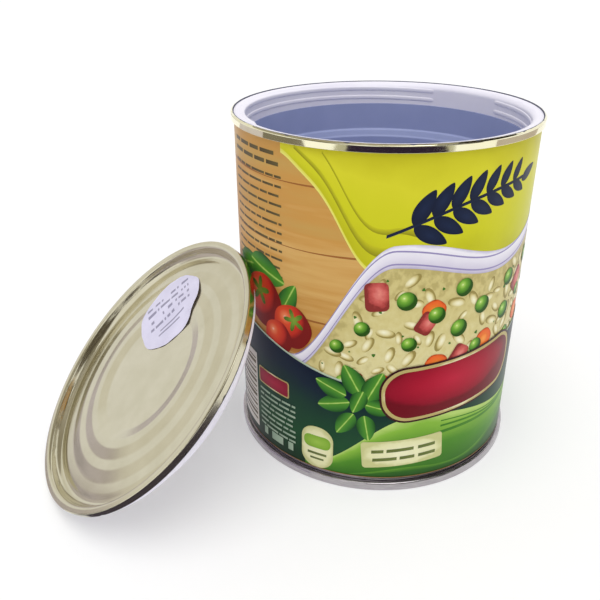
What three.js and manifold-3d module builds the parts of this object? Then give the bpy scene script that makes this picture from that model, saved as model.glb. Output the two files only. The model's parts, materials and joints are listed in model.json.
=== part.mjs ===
// A can diversion safe: a preserves can with a screw-in lid, standing open,
// with the lid leaning against its side. Millimetres, +Z up.
import * as THREE from "three";
import { mergeVertices } from "three/addons/utils/BufferGeometryUtils.js";
import Module from "manifold-3d";

const wasm = await Module();
wasm.setup();

// Turning
const FACETS = 40; // facets of every turned piece
const ARC_STEPS = 2; // facets of a rounded sheet corner
const RADIAN = Math.PI / 180;

// Tinplate
const SHEET = 0.3; // thickness of the tinplate
const CAN_RADIUS = 49.35; // outside of the can's wall
const CUT_HEIGHT = 117; // floor to the edge where the top was cut off
const HOOK_GAP = 0.28; // sealing compound between the layers of a seam
const SEAM_HEIGHT = 3.9; // height of the whole bottom seam
const BODY_HOOK = 2.4; // the wall's hook inside the bottom seam
const RIM_HEIGHT = 1.5; // what the cut left of the top seam on the can
const LID_SEAM = 2.3; // what the cut left of the top seam on the lid
const CREST_ROUND = 0.6; // rounding of a seam's crest

// Pressed ends, measured inwards from the wall of the seam
const CHUCK_SLOPE = 1.5; // how far the wall beside the groove leans in
const GROOVE_WIDTH = 1.3; // flat bottom of the groove
const GROOVE_SLOPE = 0.6; // inner side of the groove
const GROOVE_DEPTH = 3.5;
const PANEL_WIDTH = 6; // flat ring inside the groove
const PANEL_DEPTH = 2.6;
const BEAD_SLOPE = 3; // width of each sloping bead
const BEAD_RISE = 0.42; // height of each bead
const MIDDLE_WIDTH = 5; // flat ring between the two beads

// Label
const LABEL_GAP = 0.05; // paper to tin
const LABEL_THICKNESS = 0.17;
const LABEL_FOOT = 1.5; // bare tin above the bottom seam
const LABEL_HEAD = 0.2; // bare tin below the rim

// Threaded collar
const FILM = 0.1; // film of glue between collar and can
const COLLAR_GLUE = 0.35; // bead of glue round the collar
const COLLAR_GLUE_HEIGHT = 5;
const COLLAR_WALL = 2.3;
const COLLAR_DEPTH = 8.05;
const COLLAR_FLANGE = 0.86; // thickness of the flange on the rim
const COLLAR_INSET = 0.4; // flange edge to the edge of the seam
const MOUTH_CHAMFER = 0.5;

// Thread
const PITCH = 3.2;
const THREAD_TURNS = 2;
const PLUG_TURNS = 0.7; // turns of ridge on the plug
const GAP_ANGLE = 33; // each thread segment ends this far from the next
const GAP_AZIMUTH = 50; // middle of one gap on the collar
const RIDGE_BASE = 1.5; // height of a ridge at its root
const RIDGE_TIP = 0.7; // height of a ridge at its crest
const RIDGE_TOP = 1.15; // collar's face to the middle of its highest ridge
const RIDGE_ROOT = 0.4; // how deep a ridge's root lies in its wall
const RIDGE_STEP = 7; // degrees between sections of a ridge
const PLUG_RIDGE = 1.1; // how far the plug's ridge stands out
const PLUG_CLEARANCE = 0.7; // plug's ridge to the collar's bore
const RIDGE_CLEARANCE = 0.5; // collar's ridge to the plug's wall

// Inner container
const JOINT_GAP = 0.3; // between pieces that are glued or laid together
const LINER_WALL = 1.2;
const LINER_INSET = 0.6; // container's bore inside the collar's bore
const LINER_LIP = 1.4; // thickness of the lip under the collar
const LEDGE_BELOW_LIP = 9.4;
const LEDGE_HEIGHT = 2.8;
const LEDGE_WIDTH = 1.4;
const FLOOR_THICKNESS = 1.5;
const BALLAST_HEIGHT = 12;
const BALLAST_PLAY = 0.5; // ballast to the can's wall

// Lid
const LID_GAP = 0.25; // between the lid's pieces
const SEAL_THICKNESS = 0.3;
const SEAL_INSET = 0.5; // seal's edge inside the seam's edge
const FLANGE_INSET = 1.5; // plug's flange inside the seam's edge
const FLANGE_EDGE = 0.8; // thickness of the flange's edge
const PLUG_PLATE = 1.1;
const PLUG_WEB = 0.8; // wall between the recess and the flange's underside
const PLUG_WALL = 1.6;
const PLUG_SKIRT = 4.45; // plate to the lower end
const PLUG_CHAMFER = 0.8;
const PLUG_RIDGE_TOP = 0.8; // plate to the middle of the plug's highest ridge
const LID_GLUE_WIDTH = 7;
const LID_GLUE_INSET = 2; // glue ring's edge inside the groove

// Sticker on the lid
const STICKER_RADIUS = 15.4;
const STICKER_THICKNESS = 0.15;
const STICKER_ACROSS = -13.4; // from the lid's centre, level
const STICKER_UP = 18.8; // from the lid's centre, up the slope
const STICKER_RINGS = 5;
const STICKER_FACETS = 28;

// How the lid leans
const LEAN_AZIMUTH = 209.4; // direction its face looks, from +X
const LEAN_ELEVATION = 45.8; // height of that direction above level
const LEAN_GAP = 0.3; // lid's edge to the label
const LEAN_ASIDE = -3; // how far the lid lies off the line from the can, level

// Places that follow from these sizes
const canBore = CAN_RADIUS - SHEET;
const seamRadius = CAN_RADIUS + 3 * (SHEET + HOOK_GAP);
const bodyHookRadius = seamRadius - SHEET - HOOK_GAP;
const coverHookRadius = bodyHookRadius - SHEET - HOOK_GAP;
const chuckRadius = canBore - HOOK_GAP - SHEET;
const grooveOuter = chuckRadius - CHUCK_SLOPE;
const grooveInner = grooveOuter - GROOVE_WIDTH;
const panelOuter = grooveInner - GROOVE_SLOPE;
const panelInner = panelOuter - PANEL_WIDTH;
const middleOuter = panelInner - BEAD_SLOPE;
const middleInner = middleOuter - MIDDLE_WIDTH;
const centreRadius = middleInner - BEAD_SLOPE;
const middleDepth = PANEL_DEPTH - BEAD_RISE;
const centreDepth = middleDepth - BEAD_RISE;
const labelBore = CAN_RADIUS + LABEL_GAP;
const labelRadius = labelBore + LABEL_THICKNESS;
const rimFoot = CUT_HEIGHT - RIM_HEIGHT;
const collarTop = CUT_HEIGHT + FILM + COLLAR_FLANGE;
const collarFoot = collarTop - COLLAR_DEPTH;
const collarRadius = canBore - COLLAR_GLUE - 2 * FILM;
const collarBore = collarRadius - COLLAR_WALL;
const plugRadius = collarBore - PLUG_CLEARANCE - PLUG_RIDGE;
const ballastFoot = GROOVE_DEPTH + SHEET + JOINT_GAP;
const cupFoot = ballastFoot + BALLAST_HEIGHT + JOINT_GAP;

// Outlines are lists of [radius, height]
function arc(radius, height, round, from, to) {
  return Array.from({ length: ARC_STEPS + 1 }, (_, step) => {
    const angle = RADIAN * (from + ((to - from) * step) / ARC_STEPS);
    return [radius + round * Math.cos(angle), height + round * Math.sin(angle)];
  });
}

// The same line moved sideways by a sheet's thickness, with mitred corners
function besideLine(line, distance) {
  const normals = line.slice(1).map(([r, z], i) => {
    const along = [r - line[i][0], z - line[i][1]];
    const length = Math.hypot(...along);
    return [along[1] / length, -along[0] / length];
  });
  return line.map(([r, z], i) => {
    const before = normals[Math.max(i - 1, 0)];
    const after = normals[Math.min(i, normals.length - 1)];
    const mitre = distance / (1 + before[0] * after[0] + before[1] * after[1]);
    return [r + mitre * (before[0] + after[0]), z + mitre * (before[1] + after[1])];
  });
}

function pressedOutline(line) {
  return [...line, ...besideLine(line, SHEET).reverse()];
}

function flipped(line) {
  return line.map(([r, z]) => [r, -z]);
}

function signedArea(outline) {
  return outline.reduce((sum, [r, z], i) => {
    const [nextR, nextZ] = outline[(i + 1) % outline.length];
    return sum + (r * nextZ - nextR * z) / 2;
  }, 0);
}

// A ring or disc turned round the Z axis
function turned(outline) {
  const ordered = signedArea(outline) > 0 ? outline : [...outline].reverse();
  const start = Math.max(ordered.findIndex(([r]) => r === 0), 0);
  const startsOnAxis = ordered[start][0] === 0 && ordered.at(start - 1)[0] === 0;
  const first = startsOnAxis ? start : (start + 1) % ordered.length;
  const looped = [...ordered.slice(first), ...ordered.slice(0, first)];
  const closed = looped[0][0] === 0 ? looped : [...looped, looped[0]];
  const points = closed.map(([r, z]) => new THREE.Vector2(r, z));
  return new THREE.LatheGeometry(points, FACETS).rotateX(Math.PI / 2);
}

function ring(inner, outer, low, high) {
  return [[inner, low], [outer, low], [outer, high], [inner, high]];
}

// A closed skin from rows of points: each row is one loop of a tube
function tube(rows) {
  const count = rows[0].length;
  const index = [];
  rows.slice(1).forEach((_, row) => {
    for (let i = 0; i < count; i++) {
      const j = (i + 1) % count;
      const a = row * count;
      index.push(a + i, a + j, a + count + j, a + i, a + count + j, a + count + i);
    }
  });
  const last = (rows.length - 1) * count;
  for (let i = 1; i < count - 1; i++) {
    index.push(0, i + 1, i, last, last + i, last + i + 1);
  }
  const geometry = new THREE.BufferGeometry();
  geometry.setAttribute("position", new THREE.Float32BufferAttribute(rows.flat(2), 3));
  geometry.setIndex(index);
  return geometry;
}

// One helical ridge between two angles, climbing with the angle
function ridge(root, crest, heightAt, from, to) {
  const steps = Math.ceil((to - from) / RIDGE_STEP);
  const section = [
    [root, -RIDGE_BASE / 2],
    [crest, -RIDGE_TIP / 2],
    [crest, RIDGE_TIP / 2],
    [root, RIDGE_BASE / 2],
  ];
  const loop = crest < root ? section : section.reverse();
  return tube(Array.from({ length: steps + 1 }, (_, step) => {
    const degrees = from + ((to - from) * step) / steps;
    const angle = RADIAN * degrees;
    return loop.map(([r, z]) => [r * Math.cos(angle), r * Math.sin(angle), heightAt(degrees) + z]);
  }));
}

// The ridges of a thread, from its top down: each half turn is cut short by a gap
function thread(root, crest, topHeight, turns, gapAzimuth) {
  const half = 180;
  const top = gapAzimuth + half - GAP_ANGLE / 2;
  const runOut = top - 2 * half * turns;
  const heightAt = (degrees) => topHeight + (PITCH * (degrees - top)) / (2 * half);
  const ridges = [];
  for (let end = top; end > runOut; end -= half) {
    ridges.push(ridge(root, crest, heightAt, Math.max(end - half + GAP_ANGLE, runOut), end));
  }
  return ridges;
}

function solidOf(geometry) {
  const bare = geometry.clone();
  bare.deleteAttribute("normal");
  bare.deleteAttribute("uv");
  const merged = mergeVertices(bare, 1e-4);
  const whole = merged.index.array;
  const triVerts = Uint32Array.from(
    Array.from({ length: whole.length / 3 }, (_, i) => [...whole.slice(3 * i, 3 * i + 3)])
      .filter(([a, b, c]) => a !== b && b !== c && c !== a)
      .flat(),
  );
  const vertProperties = Float32Array.from(merged.attributes.position.array);
  return new wasm.Manifold(new wasm.Mesh({ numProp: 3, vertProperties, triVerts }));
}

function joined(geometries) {
  const mesh = geometries.map(solidOf).reduce((whole, next) => whole.add(next)).getMesh();
  const geometry = new THREE.BufferGeometry();
  geometry.setAttribute("position", new THREE.BufferAttribute(mesh.vertProperties, 3));
  geometry.setIndex(new THREE.BufferAttribute(mesh.triVerts, 1));
  return geometry;
}

// The face of a pressed end from its centre to the crest, which is at height 0
function endFace() {
  return [
    [0, -centreDepth],
    [centreRadius, -centreDepth],
    [middleInner, -middleDepth],
    [middleOuter, -middleDepth],
    [panelInner, -PANEL_DEPTH],
    [panelOuter, -PANEL_DEPTH],
    [grooveInner, -GROOVE_DEPTH],
    [grooveOuter, -GROOVE_DEPTH],
    ...arc(chuckRadius + CREST_ROUND, -CREST_ROUND, CREST_ROUND, 180, 90),
    ...arc(seamRadius - CREST_ROUND, -CREST_ROUND, CREST_ROUND, 90, 0),
  ];
}

function faceHeight(radius) {
  const face = endFace();
  const next = Math.max(face.findIndex(([r]) => r > radius), 1);
  const [r0, z0] = face[next - 1];
  const [r1, z1] = face[next];
  return z0 + ((z1 - z0) * (radius - r0)) / (r1 - r0);
}

function canBody() {
  const low = SHEET + HOOK_GAP;
  const hookTop = low + BODY_HOOK;
  return turned([
    [canBore, low],
    [bodyHookRadius, low],
    [bodyHookRadius, hookTop],
    [bodyHookRadius - SHEET, hookTop],
    [bodyHookRadius - SHEET, low + SHEET],
    [CAN_RADIUS, low + SHEET],
    [CAN_RADIUS, CUT_HEIGHT],
    [canBore, CUT_HEIGHT],
  ]);
}

// The seam's outer wall, turned in below the body's wall as the cover hook
function coverHook(top, foot) {
  return [
    [seamRadius, top],
    [coverHookRadius - SHEET, top],
    [coverHookRadius - SHEET, foot],
    [coverHookRadius, foot],
    [coverHookRadius, top - SHEET],
    [seamRadius - SHEET, top - SHEET],
  ];
}

function bottomEnd() {
  const outside = flipped(endFace());
  const inside = flipped(besideLine(endFace(), SHEET)).reverse();
  const hookFoot = SEAM_HEIGHT - BODY_HOOK;
  return turned([...outside, ...coverHook(SEAM_HEIGHT, hookFoot), ...inside]);
}

function topRimRing() {
  return turned([
    [coverHookRadius - SHEET, rimFoot],
    [seamRadius, rimFoot],
    [seamRadius, CUT_HEIGHT],
    [seamRadius - SHEET, CUT_HEIGHT],
    [seamRadius - SHEET, rimFoot + SHEET],
    [coverHookRadius, rimFoot + SHEET],
    [coverHookRadius, CUT_HEIGHT],
    [coverHookRadius - SHEET, CUT_HEIGHT],
  ]);
}

function paperLabel() {
  return turned(ring(labelBore, labelRadius, SEAM_HEIGHT + LABEL_FOOT, rimFoot - LABEL_HEAD));
}

function threadedCollar() {
  const edge = seamRadius - COLLAR_INSET;
  const body = turned([
    [collarBore, collarFoot],
    [collarRadius, collarFoot],
    [collarRadius, collarTop - COLLAR_FLANGE],
    [edge, collarTop - COLLAR_FLANGE],
    [edge, collarTop],
    [collarBore + MOUTH_CHAMFER, collarTop],
    [collarBore, collarTop - MOUTH_CHAMFER],
  ]);
  const crest = plugRadius + RIDGE_CLEARANCE;
  const root = collarBore + RIDGE_ROOT;
  const ridges = thread(root, crest, collarTop - RIDGE_TOP, THREAD_TURNS, GAP_AZIMUTH);
  return joined([body, ...ridges]);
}

function collarGlue() {
  const inner = collarRadius + FILM;
  const high = CUT_HEIGHT - COLLAR_FLANGE;
  return turned(ring(inner, inner + COLLAR_GLUE, high - COLLAR_GLUE_HEIGHT, high));
}

function linerCup() {
  const top = collarFoot - JOINT_GAP;
  const upperBore = collarBore - LINER_INSET;
  const lowerBore = upperBore - LEDGE_WIDTH;
  const ledge = top - LEDGE_BELOW_LIP;
  const ledgeFoot = ledge - LEDGE_HEIGHT;
  return turned([
    [0, cupFoot],
    [lowerBore + LINER_WALL, cupFoot],
    [lowerBore + LINER_WALL, ledgeFoot - LINER_WALL],
    [upperBore + LINER_WALL, ledge - LINER_WALL],
    [upperBore + LINER_WALL, top - LINER_LIP],
    [collarRadius, top - LINER_LIP],
    [collarRadius, top],
    [upperBore, top],
    [upperBore, ledge],
    [lowerBore, ledgeFoot],
    [lowerBore, cupFoot + FLOOR_THICKNESS],
    [0, cupFoot + FLOOR_THICKNESS],
  ]);
}

function ballastDisc() {
  return turned(ring(0, canBore - BALLAST_PLAY, ballastFoot, ballastFoot + BALLAST_HEIGHT));
}

// Lid pieces stand upright here, with the seam's crest at height 0
function lidEnd() {
  return turned(pressedOutline([...endFace(), [seamRadius, -LID_SEAM]]));
}

// What the cut left of the can's own flange, folded into the lid's seam
function lidBodyHook() {
  const top = -(SHEET + HOOK_GAP);
  return turned([
    [canBore, -LID_SEAM],
    [CAN_RADIUS, -LID_SEAM],
    [CAN_RADIUS, top - SHEET],
    [bodyHookRadius - SHEET, top - SHEET],
    [bodyHookRadius - SHEET, -LID_SEAM],
    [bodyHookRadius, -LID_SEAM],
    [bodyHookRadius, top],
    [canBore, top],
  ]);
}

const sealTop = -(LID_SEAM + LID_GAP);
const sealFoot = sealTop - SEAL_THICKNESS;
const flangeTop = sealFoot - LID_GAP;
const plateTop = -(GROOVE_DEPTH + SHEET + LID_GAP);
const plateFoot = plateTop - PLUG_PLATE;

// Radius of the lid's wall beside the groove at one height, seen from below
function chuckOutside(height) {
  const rise = (height + GROOVE_DEPTH) / (GROOVE_DEPTH - CREST_ROUND);
  return grooveOuter + CHUCK_SLOPE * Math.min(Math.max(rise, 0), 1) + 2 * SHEET;
}

function lidSealRing() {
  return turned(ring(chuckOutside(sealTop), seamRadius - SEAL_INSET, sealFoot, sealTop));
}

function lidPlug() {
  const recess = chuckOutside(flangeTop);
  const edge = seamRadius - FLANGE_INSET;
  const foot = plateFoot - PLUG_SKIRT;
  const body = turned([
    [0, plateTop],
    [0, plateFoot],
    [plugRadius - PLUG_WALL, plateFoot],
    [plugRadius - PLUG_WALL, foot],
    [plugRadius - PLUG_CHAMFER, foot],
    [plugRadius, foot + PLUG_CHAMFER],
    [plugRadius, plateFoot],
    [recess + PLUG_WEB, plateFoot],
    [recess + PLUG_WEB, flangeTop - FLANGE_EDGE],
    [edge, flangeTop - FLANGE_EDGE],
    [edge, flangeTop],
    [recess, flangeTop],
    [recess, plateTop],
  ]);
  const crest = plugRadius + PLUG_RIDGE;
  const root = plugRadius - RIDGE_ROOT;
  const topHeight = plateFoot - PLUG_RIDGE_TOP;
  const downhill = -90;
  return joined([body, ...thread(root, crest, topHeight, PLUG_TURNS, downhill)]);
}

function lidGlueRing() {
  const outer = panelOuter - LID_GLUE_INSET;
  const high = -(PANEL_DEPTH + SHEET + LID_GAP);
  return turned(ring(outer - LID_GLUE_WIDTH, outer, plateTop + LID_GAP, high));
}

// Paper that follows the beads of the lid's face
function lidSticker() {
  const lower = [];
  const upper = [];
  for (let step = STICKER_RINGS; step > 0; step--) {
    const radius = (STICKER_RADIUS * step) / STICKER_RINGS;
    const loop = Array.from({ length: STICKER_FACETS }, (_, i) => {
      const angle = (2 * Math.PI * i) / STICKER_FACETS;
      const x = STICKER_ACROSS + radius * Math.cos(angle);
      const y = STICKER_UP + radius * Math.sin(angle);
      return [x, y, faceHeight(Math.hypot(x, y)) + LID_GAP];
    });
    lower.unshift(loop);
    upper.push(loop.map(([x, y, z]) => [x, y, z + STICKER_THICKNESS]));
  }
  return tube([...lower, ...upper]);
}

const COLOURS = {
  gold: { color: "#cfcaa2", roughness: 0.25, metalness: 1 },
  tin: { color: "#8c8590", roughness: 0.3, metalness: 1 },
  paper: { color: "#c0b52a", roughness: 0.4, metalness: 0 },
  sticker: { color: "#d6d2ea", roughness: 0.7, metalness: 0 },
  white: { color: "#e3dff0", roughness: 0.45, metalness: 0 },
  grey: { color: "#7079a2", roughness: 0.55, metalness: 0 },
  glue: { color: "#d9cfae", roughness: 0.6, metalness: 0 },
  rubber: { color: "#2c2a30", roughness: 0.8, metalness: 0 },
  cement: { color: "#8f8b84", roughness: 0.95, metalness: 0 },
};

function piece(name, geometry, colour) {
  const mesh = new THREE.Mesh(geometry, new THREE.MeshStandardMaterial(COLOURS[colour]));
  mesh.name = name;
  return mesh;
}

function can() {
  return new THREE.Group().add(
    piece("can_body", canBody(), "tin"),
    piece("bottom_end", bottomEnd(), "tin"),
    piece("top_rim_ring", topRimRing(), "gold"),
    piece("paper_label", paperLabel(), "paper"),
    piece("threaded_collar", threadedCollar(), "white"),
    piece("collar_glue", collarGlue(), "glue"),
    piece("liner_cup", linerCup(), "grey"),
    piece("ballast_disc", ballastDisc(), "cement"),
  );
}

function lid() {
  return new THREE.Group().add(
    piece("lid_end", lidEnd(), "gold"),
    piece("lid_body_hook", lidBodyHook(), "tin"),
    piece("lid_seal_ring", lidSealRing(), "rubber"),
    piece("lid_plug", lidPlug(), "white"),
    piece("lid_glue_ring", lidGlueRing(), "glue"),
    piece("lid_sticker", lidSticker(), "sticker"),
  );
}

// How far a turning piece reaches to the side and down when its axis is tipped by an angle
function reachWhenTipped(group, tip) {
  const reach = { side: 0, down: 0 };
  const point = new THREE.Vector3();
  for (const { geometry } of group.children) {
    const places = geometry.attributes.position;
    for (let i = 0; i < places.count; i++) {
      point.fromBufferAttribute(places, i);
      const radius = Math.hypot(point.x, point.y);
      reach.side = Math.max(reach.side, radius * Math.cos(tip) - point.z * Math.sin(tip));
      reach.down = Math.max(reach.down, radius * Math.sin(tip) - point.z * Math.cos(tip));
    }
  }
  return reach;
}

// The lid tips away from the can, down to the floor and up to the label, and clears both as it turns
function leaningLid() {
  const upright = lid();
  const tip = Math.PI / 2 - RADIAN * LEAN_ELEVATION;
  const reach = reachWhenTipped(upright, tip);
  upright.rotation.z = Math.PI / 2;
  const tipped = new THREE.Group().add(upright);
  tipped.rotation.y = tip;
  tipped.position.set(labelRadius + LEAN_GAP + reach.side, LEAN_ASIDE, reach.down);
  const placed = new THREE.Group().add(tipped);
  placed.rotation.z = RADIAN * LEAN_AZIMUTH;
  return placed;
}

// The whole stands on the floor with the middle of its outline at the origin
function safe() {
  const whole = new THREE.Group().add(can(), leaningLid());
  const middle = new THREE.Box3().setFromObject(whole, true).getCenter(new THREE.Vector3());
  whole.position.set(-middle.x, -middle.y, 0);
  return new THREE.Group().add(whole);
}

export default safe();
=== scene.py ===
import bmesh
import bpy
import json
import math
from mathutils import Matrix, Vector

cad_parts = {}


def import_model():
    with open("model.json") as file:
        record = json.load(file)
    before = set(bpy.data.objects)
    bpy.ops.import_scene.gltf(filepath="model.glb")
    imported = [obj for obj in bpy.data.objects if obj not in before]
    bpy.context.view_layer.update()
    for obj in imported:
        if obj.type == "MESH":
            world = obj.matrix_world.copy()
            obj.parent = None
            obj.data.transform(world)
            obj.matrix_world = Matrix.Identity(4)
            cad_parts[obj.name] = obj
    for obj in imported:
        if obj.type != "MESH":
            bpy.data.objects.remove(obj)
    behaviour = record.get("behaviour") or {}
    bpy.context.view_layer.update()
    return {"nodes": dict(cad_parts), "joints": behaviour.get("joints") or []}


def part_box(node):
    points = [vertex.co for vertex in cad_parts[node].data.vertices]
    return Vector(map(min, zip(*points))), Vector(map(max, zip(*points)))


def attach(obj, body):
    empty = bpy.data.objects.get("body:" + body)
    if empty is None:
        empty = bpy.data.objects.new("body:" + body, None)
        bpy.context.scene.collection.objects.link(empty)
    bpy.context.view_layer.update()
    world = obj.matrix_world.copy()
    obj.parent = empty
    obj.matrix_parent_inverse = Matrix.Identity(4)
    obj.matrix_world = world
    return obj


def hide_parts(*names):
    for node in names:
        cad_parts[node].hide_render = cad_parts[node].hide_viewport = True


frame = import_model()

# Places that the frame gives, in metres
MM = 0.001
wall_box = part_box("can_body")
CAN_AXIS = Vector(((wall_box[0][0] + wall_box[1][0]) / 2, (wall_box[0][1] + wall_box[1][1]) / 2, 0))
turn_joint = next(joint for joint in frame["joints"] if joint["name"] == "lid_turn")
LID_CENTRE = Vector(turn_joint["pos_m"])
LID_FACE = Vector(turn_joint["axis"]).normalized()
lid_level = Vector((-LID_FACE.y, LID_FACE.x, 0)).normalized()
lid_slope = LID_FACE.cross(lid_level)
LID_PLACE = Matrix.Translation(LID_CENTRE) @ Matrix((lid_level, lid_slope, LID_FACE)).transposed().to_4x4()
CAN_PLACE = Matrix.Translation(CAN_AXIS)

# Heights and radii that the frame gives, in millimetres
def height_of(node):
    low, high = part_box(node)
    return low[2] / MM, high[2] / MM


def radius_of(node):
    low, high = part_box(node)
    return (high[0] - low[0]) / 2 / MM


SEAM_RADIUS = radius_of("bottom_end")
SEAM_TOP = height_of("bottom_end")[1] - 0.8  # as low as it looks in the photo
RIM_RADIUS = SEAM_RADIUS - 0.5
LABEL_RADIUS = radius_of("paper_label")
LABEL_FOOT, LABEL_HEAD = height_of("paper_label")
LABEL_FOOT -= 0.7  # just clear of the bottom seam, as it looks from above
RIM_FOOT, RIM_TOP = height_of("top_rim_ring")
COLLAR_TOP = height_of("threaded_collar")[1]
CUP_FOOT, CUP_TOP = height_of("liner_cup")
LIP_RADIUS = RIM_RADIUS - 0.55  # the cut edge leans in round the collar's flange
COLLAR_EDGE = LIP_RADIUS - 0.4
CUP_EDGE = radius_of("liner_cup")

# Sizes in millimetres
SHEET = 0.3  # tinplate
WALL_RADIUS = 49.35
HOOK_GAP = 0.28
COLLAR_BORE = 46.2
COLLAR_DEPTH = 8.05
LID_SEAM = 2.3
SEGMENTS = 288
SMOOTH_TO = 40  # degrees between faces that still shade as one


def linear(code):
    """An sRGB hex colour as linear light."""
    parts = [int(code[i : i + 2], 16) / 255 for i in (1, 3, 5)]
    light = [c / 12.92 if c <= 0.04045 else ((c + 0.055) / 1.055) ** 2.4 for c in parts]
    return (*light, 1)


def feed(node, inputs):
    """Sets or links a node's inputs, by name or in order. A node stands for its first output in use."""
    for key, value in inputs.items() if isinstance(inputs, dict) else enumerate(inputs):
        named = [socket for socket in node.inputs if socket.enabled and socket.name == key]
        socket = named[0] if named else node.inputs[key]
        if isinstance(value, bpy.types.Node):
            value = next(output for output in value.outputs if output.enabled)
        if isinstance(value, bpy.types.NodeSocket):
            node.id_data.links.new(value, socket)
        else:
            socket.default_value = value


def add(tree, kind, inputs=(), stops=(), **settings):
    """One node with its settings, its values and links, and the (place, hex colour) stops of a ramp."""
    made = tree.nodes.new(kind)
    for name, value in settings.items():
        setattr(made, name, value)
    feed(made, inputs)
    if stops:
        elements = made.color_ramp.elements
        while len(elements) < len(stops):
            elements.new(0.5)
        for element, (place, code) in zip(elements, stops):
            element.position = place
            element.color = linear(code)
    return made


MATHS = "ShaderNodeMath"


def material(name, **values):
    """A new material, its tree and its shader, whose values are given with _ for a space."""
    made = bpy.data.materials.new(name)
    made.use_nodes = True
    shader = made.node_tree.nodes["Principled BSDF"]
    feed(shader, {key.replace("_", " "): value for key, value in values.items()})
    return made, made.node_tree, shader


def clouded(tree, size, detail, dark, light):
    """Colour in clouds of about this size in millimetres."""
    place = add(tree, "ShaderNodeTexCoord").outputs["Object"]
    cloud = add(tree, "ShaderNodeTexNoise", {"Vector": place, "Scale": 1 / (size * MM), "Detail": detail})
    return add(tree, "ShaderNodeValToRGB", {"Fac": cloud}, ((0.3, dark), (0.7, light)))


def grainy(tree, shader, size, detail, depth, strength=1.0):
    """Gives a shader grains of this size and depth in millimetres, and returns them."""
    place = add(tree, "ShaderNodeTexCoord").outputs["Object"]
    grain = add(tree, "ShaderNodeTexNoise", {"Vector": place, "Scale": 1 / (size * MM), "Detail": detail})
    relief = {"Height": grain, "Distance": depth * MM, "Strength": strength}
    feed(shader, {"Normal": add(tree, "ShaderNodeBump", relief)})
    return grain


def gold_lacquer(name, dark, light, smoothest, roughest):
    """Gold food lacquer baked on bright tinplate: a satin, slightly grainy gold."""
    made, tree, shader = material(name, Metallic=1)
    grain = grainy(tree, shader, 0.5, 3, 0.003, 0.4)
    rough = add(tree, "ShaderNodeMapRange", {"Value": grain, "To Min": smoothest, "To Max": roughest})
    feed(shader, {"Base Color": clouded(tree, 9, 3, dark, light), "Roughness": rough})
    return made


def bright_tinplate():
    """Bare tinplate, rolled and stoned: grey with fine lines along the rolling."""
    made, tree, shader = material("bright_tinplate", Metallic=1)
    place = add(tree, "ShaderNodeTexCoord").outputs["Object"]
    stretched = add(tree, "ShaderNodeMapping", {"Vector": place, "Scale": (1, 1, 12)})
    lines = add(tree, "ShaderNodeTexNoise", {"Vector": stretched, "Scale": 1 / (4 * MM), "Detail": 4})
    colour = add(tree, "ShaderNodeValToRGB", {"Fac": lines}, ((0.3, "#A6A1A6"), (0.7, "#BDB8BA")))
    rough = add(tree, "ShaderNodeMapRange", {"Value": lines, "To Min": 0.18, "To Max": 0.3})
    feed(shader, {"Base Color": colour, "Roughness": rough})
    return made


def moulded_polypropylene(name, light, dark, roughness, grain):
    """Injection-moulded polypropylene: waxy, with soft mould grain and faint clouds in its colour."""
    made, tree, shader = material(name, Roughness=roughness, IOR=1.49)
    grainy(tree, shader, grain, 2, 0.01, 0.5)
    feed(shader, {"Base Color": clouded(tree, 14, 3, dark, light)})
    return made


def plain(name, light, dark, roughness, cloud, grain, depth):
    """A plain finish with clouded colour and a grainy surface."""
    made, tree, shader = material(name, Roughness=roughness)
    grainy(tree, shader, grain, 4, depth)
    feed(shader, {"Base Color": clouded(tree, cloud, 4, dark, light)})
    return made


GOLD = gold_lacquer("gold_lacquered_tinplate", "#D0CAB0", "#D8D2BA", 0.12, 0.22)
ROLLED_GOLD = gold_lacquer("rolled_gold_tinplate", "#F2ECC8", "#F9F5D6", 0.04, 0.09)
TIN = bright_tinplate()
WHITE = moulded_polypropylene("white_polypropylene", "#F5F2FC", "#F0ECF9", 0.36, 0.6)
GREY = moulded_polypropylene("grey_polypropylene", "#A3ACD4", "#9BA5CE", 0.5, 0.4)
GLUE = plain("hot_melt_glue", "#DCCFA4", "#CFC08F", 0.35, 5, 2, 0.05)
RUBBER = plain("black_foam_rubber", "#34323A", "#28262D", 0.85, 4, 0.3, 0.05)
# Dark grey steel for a thin ring inside the cut lip, which shows as a dark line along the rim's edge.
CUT_STEEL = plain("tarnished_cut_steel", "#66687E", "#50526A", 0.6, 3, 0.4, 0.02)
CEMENT = plain("cast_cement", "#9A958C", "#807B73", 0.95, 6, 0.8, 0.2)


def rounded(corners, steps=5):
    """Corners (radius, height, rounding) become an outline with curved corners.

    A point just beside each curve keeps the shading of the straight parts straight.
    """
    outline = []
    closed = corners[0][0] > 0
    for i, (r, z, rounding) in enumerate(corners):
        here = Vector((r, z))
        at_end = not closed and i in (0, len(corners) - 1)
        if rounding == 0 or at_end:
            outline.append(here)
            continue
        before = Vector(corners[i - 1][:2]) - here
        after = Vector(corners[(i + 1) % len(corners)][:2]) - here
        cut = min(rounding, before.length * 0.46, after.length * 0.46)
        start, end = here + before.normalized() * cut, here + after.normalized() * cut
        outline.append(start + before.normalized() * min(0.05, cut * 0.06))
        for step in range(steps + 1):
            t = step / steps
            outline.append(start * (1 - t) ** 2 + here * 2 * t * (1 - t) + end * t**2)
        outline.append(end + after.normalized() * min(0.05, cut * 0.06))
    return outline, closed


def linked(name, data):
    """A new object in the scene."""
    made = bpy.data.objects.new(name, data)
    bpy.context.scene.collection.objects.link(made)
    return made


def mesh_object(name, bm, place):
    """A mesh placed in the frame, in metres, from one made in millimetres."""
    bmesh.ops.recalc_face_normals(bm, faces=bm.faces)
    bm.transform(place @ Matrix.Scale(MM, 4))
    mesh = bpy.data.meshes.new(name)
    bm.to_mesh(mesh)
    bm.free()
    return linked(name, mesh)


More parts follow.
